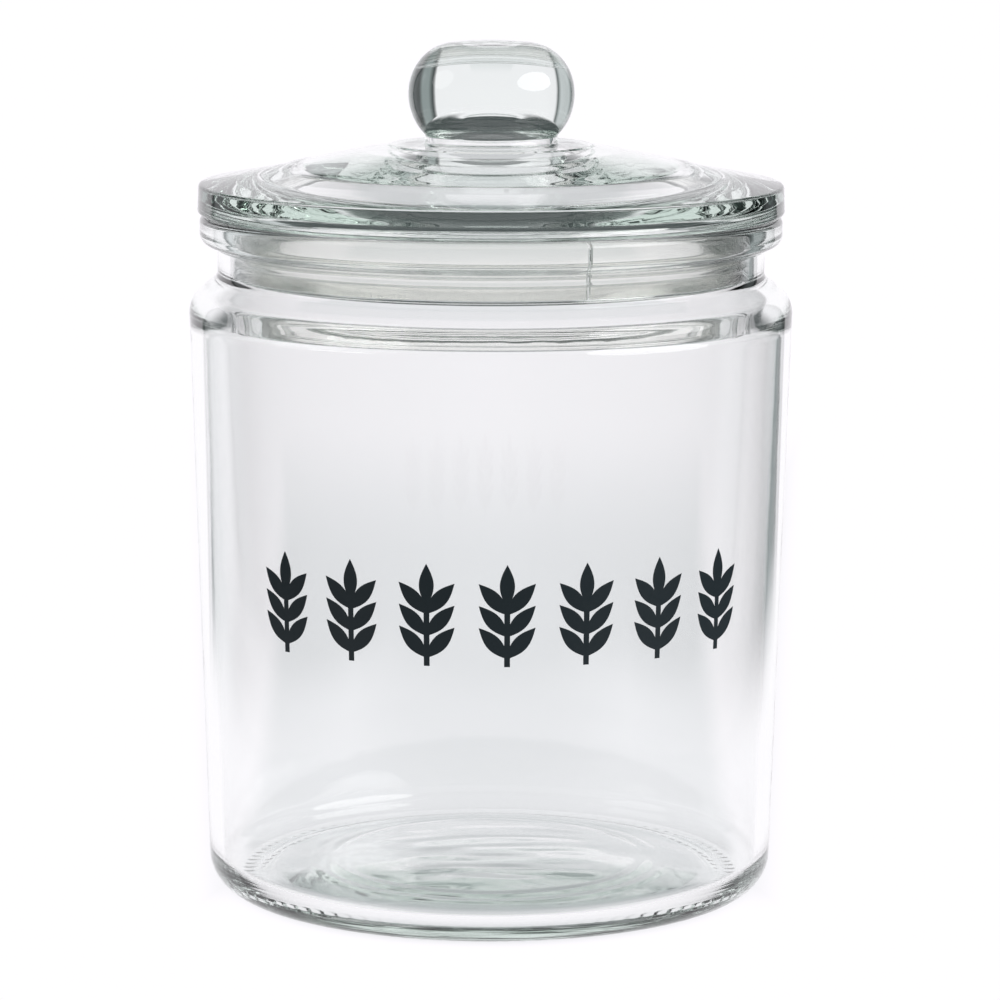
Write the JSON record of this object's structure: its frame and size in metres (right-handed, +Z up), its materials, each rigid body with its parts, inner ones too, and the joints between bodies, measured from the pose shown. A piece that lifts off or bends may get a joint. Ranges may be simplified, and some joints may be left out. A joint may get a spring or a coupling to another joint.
{
  "type": "lidded glass canister",
  "caption": "Round clear glass canister with a domed glass lid, round knob, split plastic sealing ring and a printed row of wheat ears.",
  "frame": {"origin": "on the surface the jar stands on, at the jar's axis", "axes": "+Z up along the jar's axis, -Y the printed front, +X to the right seen from the front"},
  "size_m": [0.15, 0.15, 0.2131],
  "materials": {
    "jar_glass": "clear, smooth, faint green at the edges",
    "lid_glass": "clear, smooth, pressed",
    "seal_plastic": "translucent, milky, satin",
    "print_ink": "glossy dark teal-black print"
  },
  "bodies": {
    "jar": {"jar_body": "jar_glass", "printed_ear_1": "print_ink", "printed_ear_2": "print_ink", "printed_ear_3": "print_ink", "printed_ear_4": "print_ink", "printed_ear_5": "print_ink", "printed_ear_6": "print_ink", "printed_ear_7": "print_ink"},
    "seal": {"seal_ring": "seal_plastic"},
    "lid": {"lid": "lid_glass"}
  },
  "joints": [
    {"name": "lid_lift", "type": "slide", "parent": "jar", "child": "seal", "axis": [0, 0, 1], "range_m": [0, 0.04]},
    {"name": "lid_turn", "type": "hinge", "parent": "seal", "child": "lid", "pos_m": [0, 0, 0.1705], "axis": [0, 0, 1], "continuous": true}
  ]
}
